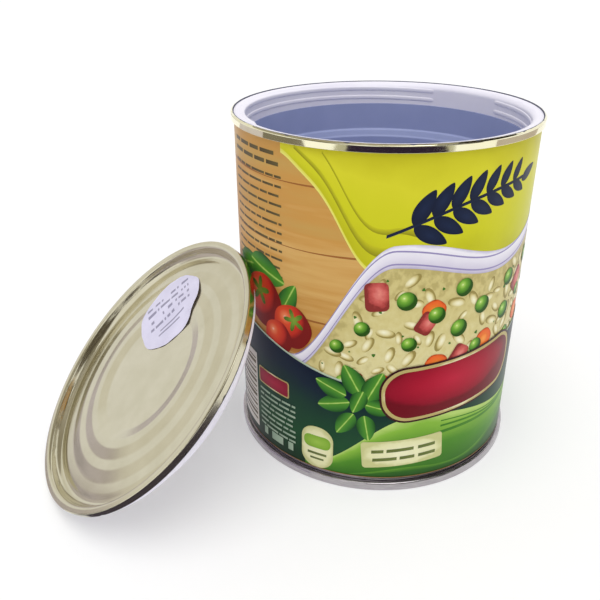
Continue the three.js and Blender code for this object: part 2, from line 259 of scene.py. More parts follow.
def applied(piece, modifier):
    """Turns what a modifier makes of a piece into its plain mesh."""
    evaluated = piece.evaluated_get(bpy.context.evaluated_depsgraph_get())
    mesh = bpy.data.meshes.new_from_object(evaluated)
    piece.modifiers.remove(modifier)
    piece.data = mesh


def finish(piece, finish_material, slot, body, *nodes):
    """Gives a piece its material, smooth shading and body, and hides the nodes it stands for. The slot is not
    used.
    """
    piece.data.materials.clear()
    piece.data.materials.append(finish_material)
    piece.data.shade_smooth()
    piece.data.set_sharp_from_angle(angle=math.radians(SMOOTH_TO))
    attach(piece, body)
    if nodes:
        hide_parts(*nodes)
    return piece


def skin(bm, rows, wraps=True):
    """Faces between rows of vertices. A row of one vertex is a tip."""
    for one, two in zip(rows, rows[1:]):
        count = max(len(one), len(two))
        for i in range(count if wraps else count - 1):
            j = (i + 1) % count
            corners = one[i % len(one)], one[j % len(one)], two[j % len(two)], two[i % len(two)]
            bm.faces.new(dict.fromkeys(corners))


def turned(name, corners, place=CAN_PLACE):
    """A piece turned round its axis from its corners."""
    outline, closed = rounded(corners)
    bm = bmesh.new()
    rows = []
    for r, z in outline:
        count = SEGMENTS if r > 1e-6 else 1
        angles = [math.tau * i / count for i in range(count)]
        rows.append([bm.verts.new((r * math.cos(a), r * math.sin(a), z)) for a in angles])
    skin(bm, rows + rows[:1] if closed else rows)
    return mesh_object(name, bm, place)


CUT_BAND = 0.12  # what lies this near the height of a cut is its edge
CUT_DEPTH = 0.05
NICK_DEPTH = 0.3


def sawn(piece, place, level, away):
    """The edge that the saw left at a height: a little uneven, with a few nicks.

    It gives way upwards where away is 1, and downwards where it is -1.
    """
    to_piece = place.inverted()
    for vertex in piece.data.vertices:
        spot = (to_piece @ vertex.co) / MM
        if abs(spot.z - level) < CUT_BAND:
            a = math.atan2(spot.y, spot.x)
            wave = 0.03 * math.sin(9 * a + 1) + 0.02 * math.sin(31 * a) + 0.02 * math.sin(83 * a)
            nick = NICK_DEPTH if math.sin(17.3 * a + 0.8) > 0.985 else 0
            spot.z += away * (CUT_DEPTH + wave + nick)
            vertex.co = place @ (spot * MM)
    return piece


# Tinplate pieces
hook_radius = SEAM_RADIUS - SHEET - HOOK_GAP
cover_radius = hook_radius - SHEET - HOOK_GAP
chuck_radius = WALL_RADIUS - 2 * SHEET - HOOK_GAP

PLUG_SEAT = 4.6  # depth of the plug's top below the lid's crest
LID_PANEL = 3.72  # depth of the middle of an end below its crest
BOTTOM_PANEL = 2.56


def end_face(panel):
    """Face of a pressed end from the middle to the crest: radius, depth below the crest, rounding."""
    return [
        (0, panel, 0),
        (21.6, panel, 0.4),
        (25.8, panel - 1.0, 0.5),
        (28.5, panel - 1.0, 0.5),
        (32.3, panel - 0.5, 0.6),
        (35.9, panel - 0.5, 0.5),
        (39.7, panel - 0.02, 0.6),
        (43.6, panel - 0.02, 0.5),
        (45.1, panel + 0.3, 0.3),
        (chuck_radius - 1.7, panel + 0.3, 0.7),
        (chuck_radius - 0.65, panel - 1.0, 0.9),
        (chuck_radius, 0, 1.1),
        (SEAM_RADIUS, 0, 0.5),
    ]


def face_depth(radius):
    """Depth of the lid's face below its crest at one radius."""
    corners = end_face(LID_PANEL)
    for (r0, d0, _), (r1, d1, _) in zip(corners, corners[1:]):
        if radius <= r1:
            return d0 + (d1 - d0) * (radius - r0) / (r1 - r0)
    return 0


def paper_depth(radius):
    """Depth of stiff paper on the lid's face: it bridges the hollows between the beads."""
    around = [face_depth(radius + aside) for aside in (-3.2, -1.6, 0, 1.6, 3.2)]
    return min(around[2], sum(around) / len(around))


def inner_face(panel):
    """The same face on the other side of the sheet, from the crest to the middle."""
    inside = [(max(0, r - SHEET * 0.2), d + SHEET, f) for r, d, f in end_face(panel)[:-2]]
    inside[-1] = (inside[-1][0] + SHEET * 1.2, inside[-1][1], 0.3)
    return [(SEAM_RADIUS - SHEET, SHEET, 0.7), (chuck_radius + SHEET, SHEET, 0.7), *inside[::-1]]


def can_wall():
    low = SHEET + HOOK_GAP
    top = low + 1.9
    corners = [
        (WALL_RADIUS - SHEET, low, 0.3),
        (hook_radius, low, 0.3),
        (hook_radius, top, 0.1),
        (hook_radius - SHEET, top, 0.1),
        (hook_radius - SHEET, low + SHEET, 0.1),
        (WALL_RADIUS, low + SHEET, 0.1),
        (WALL_RADIUS, RIM_TOP, 0),
        (WALL_RADIUS - SHEET, RIM_TOP, 0),
    ]
    finish(turned("can_wall", corners), TIN, "tinplate", "can", "can_body")


def bottom():
    seam = [
        (SEAM_RADIUS, SEAM_TOP - 0.1, 0.9),
        (cover_radius - SHEET - 0.15, SEAM_TOP, 0.3),
        (cover_radius - SHEET, 1.5, 0.1),
        (cover_radius, 1.5, 0.1),
        (cover_radius, SEAM_TOP - SHEET, 0.1),
        (SEAM_RADIUS - SHEET, SEAM_TOP - SHEET - 0.2, 0.3),
    ]
    corners = end_face(BOTTOM_PANEL) + seam + inner_face(BOTTOM_PANEL)
    finish(turned("bottom_seamed_end", corners), TIN, "tinplate", "can", "bottom_end")


def rim():
    corners = [
        (cover_radius - SHEET, RIM_FOOT + 0.1, 0.3),
        (RIM_RADIUS, RIM_FOOT, 0.12),
        (RIM_RADIUS, RIM_TOP + 0.5, 0.2),
        (LIP_RADIUS, COLLAR_TOP - 0.04, 0.05),
        (LIP_RADIUS - 0.15, COLLAR_TOP - 0.04, 0.05),
        (RIM_RADIUS - SHEET, RIM_TOP + 0.4, 0.15),
        (RIM_RADIUS - SHEET, RIM_FOOT + SHEET, 0.3),
        (cover_radius, RIM_FOOT + SHEET, 0.2),
        (cover_radius, RIM_TOP, 0.05),
        (cover_radius - SHEET, RIM_TOP, 0.05),
    ]
    piece = sawn(turned("cut_rim", corners), CAN_PLACE, COLLAR_TOP - 0.04, -1)
    finish(piece, ROLLED_GOLD, "gold_tinplate", "can", "top_rim_ring")
    # A thin dark ring on the inside of the cut lip, which shows as a dark line along the rim's edge.
    inside = [
        (LIP_RADIUS - 0.16, COLLAR_TOP - 0.05, 0),
        (LIP_RADIUS - 0.3, COLLAR_TOP - 0.05, 0),
        (LIP_RADIUS - 0.3, COLLAR_TOP - 0.6, 0),
        (LIP_RADIUS - 0.12, COLLAR_TOP - 0.6, 0),
    ]
    finish(turned("inside_of_cut_edge", inside), CUT_STEEL, "gold_tinplate", "can")


def lid_metal():
    cut_edge = [(SEAM_RADIUS, LID_SEAM, 0.08), (SEAM_RADIUS - SHEET, LID_SEAM, 0.08)]
    corners = end_face(LID_PANEL) + cut_edge + inner_face(LID_PANEL)
    piece = turned("gold_lid_end", [(r, -d, f) for r, d, f in corners], LID_PLACE)
    sawn(piece, LID_PLACE, -LID_SEAM, 1)
    finish(piece, GOLD, "gold_tinplate", "lid", "lid_end")


# Geometry Nodes
def tree_with(name, **inputs):
    """A Geometry Nodes tree with the named inputs of each kind, and a geometry output."""
    tree = bpy.data.node_groups.new(name, "GeometryNodeTree")
    for kind, labels in inputs.items():
        for label in labels:
            tree.interface.new_socket(label, in_out="INPUT", socket_type="NodeSocket" + kind)
    tree.interface.new_socket("Geometry", in_out="OUTPUT", socket_type="NodeSocketGeometry")
    return tree, add(tree, "NodeGroupInput").outputs


def end_tree(tree, geometry, finish_material):
    """Ends a tree in one plain mesh of one material."""
    whole = add(tree, "GeometryNodeRealizeInstances", {"Geometry": geometry})
    painted = add(tree, "GeometryNodeSetMaterial", {"Geometry": whole, "Material": finish_material})
    add(tree, "NodeGroupOutput", {"Geometry": painted})


def grown(name, tree, carrier, **values):
    """The plain mesh that a tree makes, its inputs given by name with _ for a space."""
    modifier = carrier.modifiers.new(name, "NODES")
    modifier.node_group = tree
    for item in tree.interface.items_tree:
        key = item.name.replace(" ", "_")
        if item.in_out == "INPUT" and key in values:
            modifier[item.identifier] = values[key]
    applied(carrier, modifier)
    carrier.name = name
    return carrier


RIDGE_RISE = 34  # a ridge stands at its full height from about 1/34 of its length
RIDGE_POINTS = 100


def thread_tree():
    """Ridges of a thread on a helix, each half a turn on from the last.

    A ridge stands on its radius, and its ends go down to its sunk radius.
    """
    tree, given = tree_with(
        "thread_ridges",
        Float=(
            "Start Angle", "End Angle", "Start Height", "End Height", "Radius", "Sunk Radius",
            "Reach", "Lean", "Base", "Tip", "Drop",
        ),
        Int=("Ridges",),
        Material=("Material",),
    )
    line = add(tree, "GeometryNodeCurvePrimitiveLine")
    fine = add(tree, "GeometryNodeResampleCurve", {"Curve": line, "Count": RIDGE_POINTS})
    along = add(tree, "GeometryNodeSplineParameter")
    rest = add(tree, MATHS, (1, along), operation="SUBTRACT")
    near_end = add(tree, MATHS, (along, rest), operation="MULTIPLY")
    risen = add(tree, MATHS, (near_end, RIDGE_RISE), operation="MULTIPLY", use_clamp=True)
    full = add(tree, MATHS, (risen,), operation="SQRT")
    angle, height, radius = [
        add(tree, "ShaderNodeMapRange", {"Value": share, "To Min": given[start], "To Max": given[end]})
        for share, start, end in (
            (along, "Start Angle", "End Angle"),
            (along, "Start Height", "End Height"),
            (full, "Sunk Radius", "Radius"),
        )
    ]
    spoke = add(tree, "ShaderNodeCombineXYZ", {"X": radius, "Z": height})
    helix = add(tree, "ShaderNodeVectorRotate", {"Vector": spoke, "Angle": angle}, rotation_type="Z_AXIS")
    bent = add(tree, "GeometryNodeSetPosition", {"Geometry": fine, "Position": helix})
    upright = add(tree, "GeometryNodeSetCurveNormal", {"Curve": bent}, mode="Z_UP")
    shape = {
        "Bottom Width": given["Base"], "Top Width": given["Tip"],
        "Height": given["Reach"], "Offset": 0.0,
    }
    corners = add(tree, "GeometryNodeCurvePrimitiveQuadrilateral", shape, mode="TRAPEZOID")
    rounding = add(tree, MATHS, (given["Tip"], 0.4), operation="MULTIPLY")
    soft = {"Curve": corners, "Radius": rounding, "Count": 3}
    softened = add(tree, "GeometryNodeFilletCurve", soft, mode="POLY")
    way = add(tree, "ShaderNodeCombineXYZ", {"Z": given["Lean"]})
    profile = add(tree, "GeometryNodeTransform", {"Geometry": softened, "Rotation": way})
    swept = {"Curve": upright, "Profile Curve": profile, "Fill Caps": True}
    ridge = add(tree, "GeometryNodeCurveToMesh", swept)
    number = add(tree, "GeometryNodeInputIndex")
    steps = add(tree, "GeometryNodePoints", {"Count": given["Ridges"]})
    down, half_turn = [
        add(tree, "ShaderNodeCombineXYZ", {"Z": add(tree, MATHS, (number, each), operation="MULTIPLY")})
        for each in (given["Drop"], math.pi)
    ]
    places = add(tree, "GeometryNodeSetPosition", {"Geometry": steps, "Position": down})
    copies = {"Points": places, "Instance": ridge, "Rotation": half_turn}
    end_tree(tree, add(tree, "GeometryNodeInstanceOnPoints", copies), given["Material"])
    return tree


THREAD = thread_tree()


def with_ridges(piece, place, root, top, top_angle, arc, reach, sink, base, tip, ridges=1):
    """Adds thread ridges to a turned piece. Sizes in millimetres and degrees."""
    lengths = {
        "Start_Height": top - PITCH * arc / 360, "End_Height": top, "Drop": -PITCH / 2,
        "Radius": root, "Sunk_Radius": root + sink, "Reach": abs(reach), "Base": base, "Tip": tip,
    }
    angles = {"Start_Angle": top_angle - arc, "End_Angle": top_angle, "Lean": math.copysign(90, reach)}
    values = {name: length * MM for name, length in lengths.items()}
    values |= {name: math.radians(angle) for name, angle in angles.items()}
    carrier = linked("thread", bpy.data.meshes.new("thread"))
    grown("thread", THREAD, carrier, **values, Ridges=ridges, Material=WHITE)
    bm = bmesh.new()
    bm.from_mesh(carrier.data)
    bmesh.ops.remove_doubles(bm, verts=bm.verts, dist=1e-6)
    bmesh.ops.recalc_face_normals(bm, faces=bm.faces)
    bm.transform(place)
    bm.from_mesh(piece.data)
    bm.to_mesh(piece.data)
    bm.free()
    bpy.data.objects.remove(carrier)


# Plastic pieces
PITCH = 3.2
GAP_ANGLE = 27
GAP_AZIMUTH = 50


def collar():
    corners = [
        (COLLAR_BORE, COLLAR_TOP - COLLAR_DEPTH, 0.1),
        (48.5, COLLAR_TOP - COLLAR_DEPTH, 0.2),
        (48.5, COLLAR_TOP - 0.86, 0.1),
        (COLLAR_EDGE, COLLAR_TOP - 0.86, 0.15),
        (COLLAR_EDGE, COLLAR_TOP - 0.4, 0.2),
        (COLLAR_EDGE - 0.8, COLLAR_TOP - 0.2, 0.4),
        (48.7, COLLAR_TOP - 0.2, 0.9),
        (47.3, COLLAR_TOP - 0.55, 1.3),
        (COLLAR_BORE, COLLAR_TOP - 1.6, 0.7),
    ]
    piece = turned("white_collar", corners)
    top_angle = GAP_AZIMUTH + 180 - GAP_ANGLE / 2
    arc = 180 - GAP_ANGLE
    ridge = {"reach": 2.1, "sink": 1.4, "base": 2.9, "tip": 1.4}
    with_ridges(piece, CAN_PLACE, COLLAR_BORE + 0.8, COLLAR_TOP - 1.35, top_angle, arc, **ridge, ridges=4)
    finish(piece, WHITE, "white_plastic", "can", "threaded_collar")


def container():
    upper, lower, wall = COLLAR_BORE - 0.2, COLLAR_BORE - 2.0, 1.2
    top = COLLAR_TOP - COLLAR_DEPTH - 0.02
    ledge = CUP_TOP - 9.4
    corners = [
        (0, CUP_FOOT, 0),
        (lower + wall, CUP_FOOT, 2),
        (lower + wall, ledge - 4, 0.5),
        (upper + wall, ledge - wall, 0.5),
        (upper + wall, top - 1.4, 0.3),
        (CUP_EDGE, top - 1.4, 0.2),
        (CUP_EDGE, top, 0.2),
        (upper, top, 0.1),
        (upper, ledge, 0.3),
        (upper - 0.55, ledge - 0.4, 0.3),
        (lower + 0.55, ledge - 2.3, 0.5),
        (lower + 0.15, ledge - 2.8, 0.3),
        (lower, CUP_FOOT + 1.5, 3),
        (0, CUP_FOOT + 1.5, 0),
    ]
    piece = turned("grey_container", corners)
    finish(piece, GREY, "grey_plastic", "can", "liner_cup")


def plug():
    corners = [
        (0, -PLUG_SEAT, 0),
        (44.2, -PLUG_SEAT, 0.1),
        (44.6, -4.95, 0.1),
        (48.3, -4.95, 0.1),
        (48.3, -3.1, 0.1),
        (SEAM_RADIUS - 1.5, -3.1, 0.25),
        (SEAM_RADIUS - 1.5, -3.9, 0.25),
        (48.9, -3.9, 0.2),
        (48.9, -5.3, 0.3),
        (44.4, -5.3, 0.2),
        (44.4, -8.8, 0.3),
        (43.6, -9.6, 0.3),
        (42.8, -9.6, 0.3),
        (42.8, -5.6, 0.8),
        (0, -5.6, 0),
    ]
    piece = turned("white_plug", corners, LID_PLACE)
    top_angle = 90 - GAP_ANGLE / 2
    lower_arc = 252 - 180
    root, top = 44.3, -5.95
    ridge = {"reach": -1.2, "sink": -1.2, "base": 1.7, "tip": 0.7}
    with_ridges(piece, LID_PLACE, root, top, top_angle, 180 - GAP_ANGLE, **ridge)
    with_ridges(piece, LID_PLACE, root, top - PITCH / 2, top_angle - 180, lower_arc, **ridge)
    finish(piece, WHITE, "white_plastic", "lid", "lid_plug")


def seal():
    corners = [
        (48.4, -2.55, 0.05),
        (SEAM_RADIUS - 0.5, -2.55, 0.1),
        (SEAM_RADIUS - 0.5, -2.85, 0.1),
        (48.4, -2.85, 0.05),
    ]
    piece = turned("dark_seal_ring", corners, LID_PLACE)
    finish(piece, RUBBER, "seal_rubber", "lid_seal", "lid_seal_ring")


# The label is printed flat, in millimetres across and up from the middle of the side that faces
# the camera, and a tree then bends it round the can. A layer is one ink's height above the paper.
INK = 0.014
PAPER = 0.17
HALF_ROUND = math.pi * LABEL_RADIUS
PRINT_FOOT = LABEL_FOOT + 0.02
PRINT_HEAD = LABEL_HEAD - 0.02
FIELD_STEP = 1.2
RING_STEP = 1.3
LEAF_POINTS = 34


def ink(name, *stops, reading="round", mottle=(3, 0.2), light=(0, 0), grain=(1, 1)):
    """Offset ink under gloss varnish: the colour follows the printed shape and is a little uneven.

    It reads the shape from its middle outwards (round), or its first (across) or second (up) axis.
    """
    made, tree, shader = material(name, Roughness=0.32, Specular_IOR_Level=0.15)
    shape, paper = [
        add(tree, "ShaderNodeAttribute", attribute_name=kept).outputs["Vector"] for kept in ("shape", "paper")
    ]
    if reading == "round":
        off = add(tree, "ShaderNodeVectorMath", (shape, (*light, 0)), operation="SUBTRACT")
        read = add(tree, "ShaderNodeVectorMath", (off,), operation="LENGTH")
    else:
        axes = add(tree, "ShaderNodeSeparateXYZ", {"Vector": shape}).outputs
        read = add(tree, MATHS, (axes["X" if reading == "across" else "Y"],), operation="ABSOLUTE")
    size, amount = mottle
    laid = add(tree, "ShaderNodeMapping", {"Vector": paper, "Scale": (*grain, 1)})
    cloud = add(tree, "ShaderNodeTexNoise", {"Vector": laid, "Scale": 1 / (size * MM), "Detail": 4})
    uneven = add(tree, "ShaderNodeMapRange", {"Value": cloud, "To Min": -amount, "To Max": amount})
    place = add(tree, MATHS, (read, uneven), operation="ADD")
    feed(shader, {"Base Color": add(tree, "ShaderNodeValToRGB", {"Fac": place}, stops)})
    grainy(tree, shader, 0.4, 2, 0.004, 0.5)
    return made


def bent_round(tree, paper, radius):
    """Bends flat paper round the can: across becomes the angle, and up stays up."""
    flat = add(tree, "GeometryNodeInputPosition")
    keep = {"Geometry": paper, "Name": "paper", "Value": flat}
    kept = add(tree, "GeometryNodeStoreNamedAttribute", keep, data_type="FLOAT_VECTOR", domain="POINT")
    split = add(tree, "ShaderNodeSeparateXYZ", {"Vector": flat}).outputs
    turn = add(tree, MATHS, (split["X"], radius), operation="DIVIDE")
    angle = add(tree, MATHS, (turn, math.pi / 2), operation="SUBTRACT")
    reach = add(tree, MATHS, (radius, split["Z"]), operation="ADD")
    spoke = add(tree, "ShaderNodeCombineXYZ", {"X": reach, "Z": split["Y"]})
    place = add(tree, "ShaderNodeVectorRotate", {"Vector": spoke, "Angle": angle}, rotation_type="Z_AXIS")
    return add(tree, "GeometryNodeSetPosition", {"Geometry": kept, "Position": place})


def print_tree():
    tree, given = tree_with("print_round_can", Geometry=("Paper",), Float=("Radius",), Material=("Ink",))
    end_tree(tree, bent_round(tree, given["Paper"], given["Radius"]), given["Ink"])
    return tree


def strewn_tree():
    """Copies of one flat motif strewn over a field of paper, then bent round the can."""
    tree, given = tree_with(
        "strewn_print",
        Geometry=("Paper",),
        Object=("Motif",),
        Float=("Spacing", "Crowding", "Smallest", "Largest", "Turn", "Layer", "Radius"),
        Int=("Seed",),
        Material=("Ink",),
    )
    spread = {
        "Mesh": given["Paper"], "Distance Min": given["Spacing"],
        "Density Max": given["Crowding"], "Seed": given["Seed"],
    }
    points = add(tree, "GeometryNodeDistributePointsOnFaces", spread, distribute_method="POISSON")
    number = add(tree, "GeometryNodeInputIndex")
    level = add(tree, MATHS, (number, 5), operation="MODULO")
    height = add(tree, MATHS, (level, given["Layer"]), operation="MULTIPLY")
    lift = add(tree, "ShaderNodeCombineXYZ", {"Z": height})
    lifted = add(tree, "GeometryNodeSetPosition", {"Geometry": points, "Offset": lift})
    sizes = {"Min": given["Smallest"], "Max": given["Largest"], "Seed": given["Seed"]}
    size = add(tree, "FunctionNodeRandomValue", sizes)
    scale = add(tree, "ShaderNodeCombineXYZ", {"X": size, "Y": size, "Z": 1.0})
    next_seed = add(tree, MATHS, (given["Seed"], 1), operation="ADD")
    turn = add(tree, "FunctionNodeRandomValue", {"Min": 0.0, "Max": given["Turn"], "Seed": next_seed})
    spin = add(tree, "ShaderNodeCombineXYZ", {"Z": turn})
    motif = add(tree, "GeometryNodeObjectInfo", {"Object": given["Motif"]}).outputs["Geometry"]
    copies = {"Points": lifted, "Instance": motif, "Rotation": spin, "Scale": scale}
    strewn = add(tree, "GeometryNodeInstanceOnPoints", copies)
    whole = add(tree, "GeometryNodeRealizeInstances", {"Geometry": strewn})
    end_tree(tree, bent_round(tree, whole, given["Radius"]), given["Ink"])
    return tree


PRINT = print_tree()
STREWN = strewn_tree()


def sheet_of_shapes(*shapes):
    """Flat paper with shapes, each a list of rows of (point, shape coordinate)."""
    bm = bmesh.new()
    coordinate = bm.verts.layers.float_vector.new("shape")
    for rows, wraps in shapes:
        made = []
        for row in rows:
            made.append([])
            for point, where in row:
                vertex = bm.verts.new([value * MM for value in point])
                vertex[coordinate] = where
                made[-1].append(vertex)
        skin(bm, made, wraps)
    mesh = bpy.data.meshes.new("paper")
    bm.to_mesh(mesh)
    bm.free()
    return linked("paper", mesh)


def field(x0, x1, low, high, layer, rows=6):
    """A printed field between two edges, each a number or a function of the place across."""
    count = max(2, math.ceil((x1 - x0) / FIELD_STEP))
    edge = [(lambda x, e=e: e) if isinstance(e, (int, float)) else e for e in (low, high)]
    made = []
    for row in range(rows + 1):
        up = row / rows
        made.append([])
        for i in range(count + 1):
            x = x0 + (x1 - x0) * i / count
            z = edge[0](x) * (1 - up) + max(edge[1](x), edge[0](x)) * up
            made[-1].append(((x, z, layer * INK), (i / count, up, 0)))
    return made, False


def all_round(low, high, layer, rows):
    return field(-HALF_ROUND, HALF_ROUND, low, high, layer, rows)


def motif(outline, middle=(0, 0), turn=0, layer=0):
    """A printed shape of rings round its middle. Its coordinate runs from 0 to 1 on its own axes."""
    wide = max(abs(x) for x, _ in outline)
    tall = max(abs(y) for _, y in outline)
    rings = max(3, math.ceil(max(wide, tall) / RING_STEP))
    cosine, sine = math.cos(math.radians(turn)), math.sin(math.radians(turn))
    made = []
    for ring in range(rings, -1, -1):
        t = ring / rings
        made.append([])
        for x, y in outline if ring else [(0, 0)]:
            across = middle[0] + t * (x * cosine - y * sine)
            up = middle[1] + t * (x * sine + y * cosine)
            made[-1].append(((across, up, layer * INK), (t * x / wide, t * y / tall, 0)))
    return made, True


def bent_piece(piece, colour):
    """Puts a bent print on the can and gives it its ink."""
    piece.data.transform(CAN_PLACE)
    piece.data.update()
    finish(piece, colour, "label_paper", "can")


def printed(name, shapes, *stops, **look):
    """One ink on the label: its shapes, bent round the can."""
    colour = ink("ink_" + name, *stops, **look)
    values = {"Radius": LABEL_RADIUS * MM, "Ink": colour}
    bent_piece(grown("print_" + name, PRINT, sheet_of_shapes(*shapes), **values), colour)


def strewn(name, paper, shape, *stops, spacing, sizes, seed, layer, turn=360, crowding=1, **look):
    """One ink on the label: one motif strewn over a field."""
    colour = ink("ink_" + name, *stops, **look)
    one = sheet_of_shapes(shape)
    values = {
        "Motif": one, "Radius": LABEL_RADIUS * MM, "Ink": colour, "Layer": layer * INK * MM,
        "Spacing": spacing * MM, "Crowding": crowding / (spacing * MM) ** 2,
        "Smallest": sizes[0], "Largest": sizes[1], "Turn": math.radians(turn), "Seed": seed,
    }
    bent_piece(grown("print_" + name, STREWN, sheet_of_shapes(paper), **values), colour)
    bpy.data.objects.remove(one)


def blob(radius, lobes=0, ripple=0.0, points=44, long=1.0):
    """A round or lobed outline."""
    angles = [math.tau * i / points for i in range(points)]
    reach = [radius * (1 + ripple * math.cos(lobes * a)) for a in angles]
    return [(long * r * math.cos(a), r * math.sin(a)) for r, a in zip(reach, angles)]


def leaf(length, width):
    """A leaf with a pointed tip, its rib along the first axis."""
    outline = []
    for i in range(LEAF_POINTS):
        a = math.tau * i / LEAF_POINTS
        x = math.cos(a)
        outline.append((length / 2 * x, width / 2 * math.sin(a) * (1 - 0.25 * x) * abs(math.sin(a)) ** 0.35))
    return outline


def plate(width, height, corner, steps=9):
    """A rounded rectangle, with points along its long sides."""
    half, tall = width / 2 - corner, height / 2 - corner
    outline = []
    for quarter, (x, y) in enumerate(((half, tall), (-half, tall), (-half, -tall), (half, -tall))):
        for step in range(steps + 1):
            a = math.radians(90 * (quarter + step / steps))
            outline.append((x + corner * math.cos(a), y + corner * math.sin(a)))
        if quarter % 2 == 0:
            outline += [(x - math.copysign(2 * half, x) * k / 30, outline[-1][1]) for k in range(1, 30)]
    return outline


# Edges of the printed fields: the height in millimetres at a place across
def eased(t):
    t = min(max(t, 0), 1)
    return t * t * (3 - 2 * t)


def above(edge, height, start=0, rise=0):
    """An edge some millimetres above another, rising evenly from its start."""
    return lambda x: edge(x) + height + (x - start) * rise


def field_edge(x):
    return PRINT_HEAD - 3 - 34 * (eased((x + 30) / 34) - eased((x - 92) / 36)) + 1.2 * math.sin(x / 3.2)


def cloth_top(x):
    return 50 + 36 * eased((x + 29) / 34) + 3.2 * math.sin((x + 8) / 11) - 38 * eased((x - 80) / 44)


def cloth_inner(x):
    return cloth_top(x) - 6.5 - 1.2 * math.sin(x / 13)


def band_top(x):
    return 45.5 + 5.5 * math.cos((x + 58) / 21) * eased((120 - abs(x)) / 30)


def meadow_top(x):
    rise = 5 + 17 * eased((x + 22) / 34) + 2.5 * math.sin(x / 12)
    return LABEL_FOOT + rise * (1 - eased((x - 84) / 44))


def hill_top(x):
    rise = 2 + 8 * eased((x - 20) / 40) + 2 * math.sin(x / 9)
    return LABEL_FOOT + max(rise, 0.1) * (1 - eased((x - 76) / 46))


def stem(x):
    return 92.5 + 0.26 * (x - 4) + 2.4 * math.sin((x - 4) / 14)


# What is printed on the label, from the paper outwards
LEAF_STOPS = ((0, "#B4D070"), (0.05, "#8CB84A"), (0.1, "#4E8E2C"), (0.6, "#37752A"), (1, "#1C4A1C"))
CREAM = ((0, "#E2D9A8"), (0.9, "#E8E0B8"), (1, "#B8A86A"))


def print_board():
    printed(
        "board", [all_round(30, PRINT_HEAD, 1, 10)],
        (0, "#A46A2E"), (0.3, "#C0893F"), (0.5, "#D2A763"), (0.7, "#C79349"), (1, "#C39A52"),
        reading="up", mottle=(7, 0.55), grain=(0.12, 1.2),
    )
    gaps = [all_round(z, lambda x, z=z: z + 0.45 + 0.2 * math.sin(x / 7 + z), 2, 1) for z in (61, 84, 104)]
    printed("board_joints", gaps, (0, "#8E5526"), (1, "#A86E38"), reading="across", mottle=(5, 0.4))


def print_yellow_field():
    printed(
        "yellow_field", [field(-31, 128, field_edge, PRINT_HEAD, 4, 6)],
        (0, "#B7B414"), (0.35, "#CCCB1C"), (0.75, "#D5D02A"), (1, "#C6BF1E"),
        reading="up", mottle=(18, 0.25),
    )
    folds = []
    for left, right, low, high, spread in ((-26, 6, 4.5, 5.6, 0.12), (-17, 12, 12, 12.7, 0.1)):
        upper = above(field_edge, high, left, spread)
        folds.append(field(left, right, above(field_edge, low, left, 0.05), upper, 5, 2))
    printed(
        "yellow_folds", folds,
        (0, "#8E8A10"), (0.5, "#A9A616"), (1, "#C2BE1C"), reading="up", mottle=(6, 0.2),
    )
    printed(
        "yellow_hem", [field(-31, 14, above(field_edge, -0.2), above(field_edge, 1.1), 5, 2)],
        (0, "#E6E27A"), (1, "#D8D448"), reading="up", mottle=(4, 0.3),
    )


def print_cloth():
    printed(
        "cloth_shadow", [field(-31, 2, 44, lambda x: cloth_top(x - 1.4) + 0.8, 3, 4)],
        (0, "#7A5A30"), (0.6, "#96713A"), (1, "#B98C50"), reading="up", mottle=(5, 0.3),
    )
    printed(
        "linen_border", [field(-29, 120, cloth_inner, cloth_top, 6, 8)],
        (0, "#B9B1CC"), (0.12, "#CFC9DC"), (0.5, "#E4E0EC"), (0.85, "#F0EDF4"), (1, "#C9C3D8"),
        reading="up", mottle=(6, 0.12),
    )
    printed(
        "linen", [field(-28, 120, 36, cloth_inner, 6.5, 10)],
        (0, "#C9BE86"), (0.3, "#DAD09A"), (0.6, "#D3C78A"), (0.85, "#CDBF80"), (1, "#B9AA6C"),
        reading="up", mottle=(2.2, 0.5), grain=(1, 0.8),
    )
    stripes = [field(-26, 118, above(cloth_inner, d), above(cloth_inner, d + 0.5), 7, 1) for d in (1, 5)]
    printed("linen_stripes", stripes, (0, "#8F86B4"), (1, "#A59CC6"), reading="across", mottle=(2, 0.3))


def print_food():
    """Food strewn on the cloth. The copies of each kind lie on five layers in turn."""
    ground = field(-20, 112, lambda x: 38 + 8 * eased(-x / 20), above(cloth_inner, -3), 0)
    bean = motif(blob(1.45, 2, 0.06, 14, 1.8), layer=8)
    strewn(
        "beans", ground, bean,
        (0, "#F4F0D2"), (0.45, "#E6DEB0"), (0.8, "#CABB7C"), (1, "#9A8A4C"),
        light=(-0.2, 0.25), spacing=3.9, sizes=(0.75, 1.2), seed=3, layer=0.8,
    )
    strewn(
        "herbs", ground, motif(blob(0.5, 3, 0.25, 9), layer=12),
        (0, "#4E8A2A"), (1, "#2C5A1C"), mottle=(1, 0.4), spacing=6, sizes=(0.6, 1.3), seed=8, layer=0.3,
    )
    coin = motif(blob(4.3, 5, 0.03, 30), layer=13.2)
    strewn(
        "carrot_coins", ground, coin,
        (0, "#F6A24A"), (0.3, "#F08A34"), (0.42, "#E8782A"),
        (0.8, "#E8662A"), (0.93, "#D2521E"), (1, "#A83E14"),
        mottle=(1.2, 0.12), spacing=17, sizes=(0.8, 1.15), seed=22, layer=0.8, crowding=2,
    )
    cube = motif(plate(8.2, 6.2, 1.4, 3), layer=15)
    strewn(
        "ham_cubes", ground, cube,
        (0, "#E48A7E"), (0.5, "#CC5E58"), (0.85, "#B04440"), (1, "#8A302C"),
        mottle=(1.5, 0.35), light=(-0.2, 0.2),
        spacing=17, sizes=(0.75, 1.2), seed=34, layer=0.8, crowding=2,
    )
    pea = motif(blob(2.7, points=24), layer=18.4)
    strewn(
        "peas", ground, pea,
        (0, "#E6F0B4"), (0.14, "#A9CF5E"), (0.45, "#6FA634"), (0.85, "#467E22"), (1.15, "#2A5214"),
        mottle=(1.5, 0.08), light=(-0.3, 0.34),
        spacing=10, sizes=(0.8, 1.15), seed=5, layer=0.8, turn=0, crowding=2,
    )


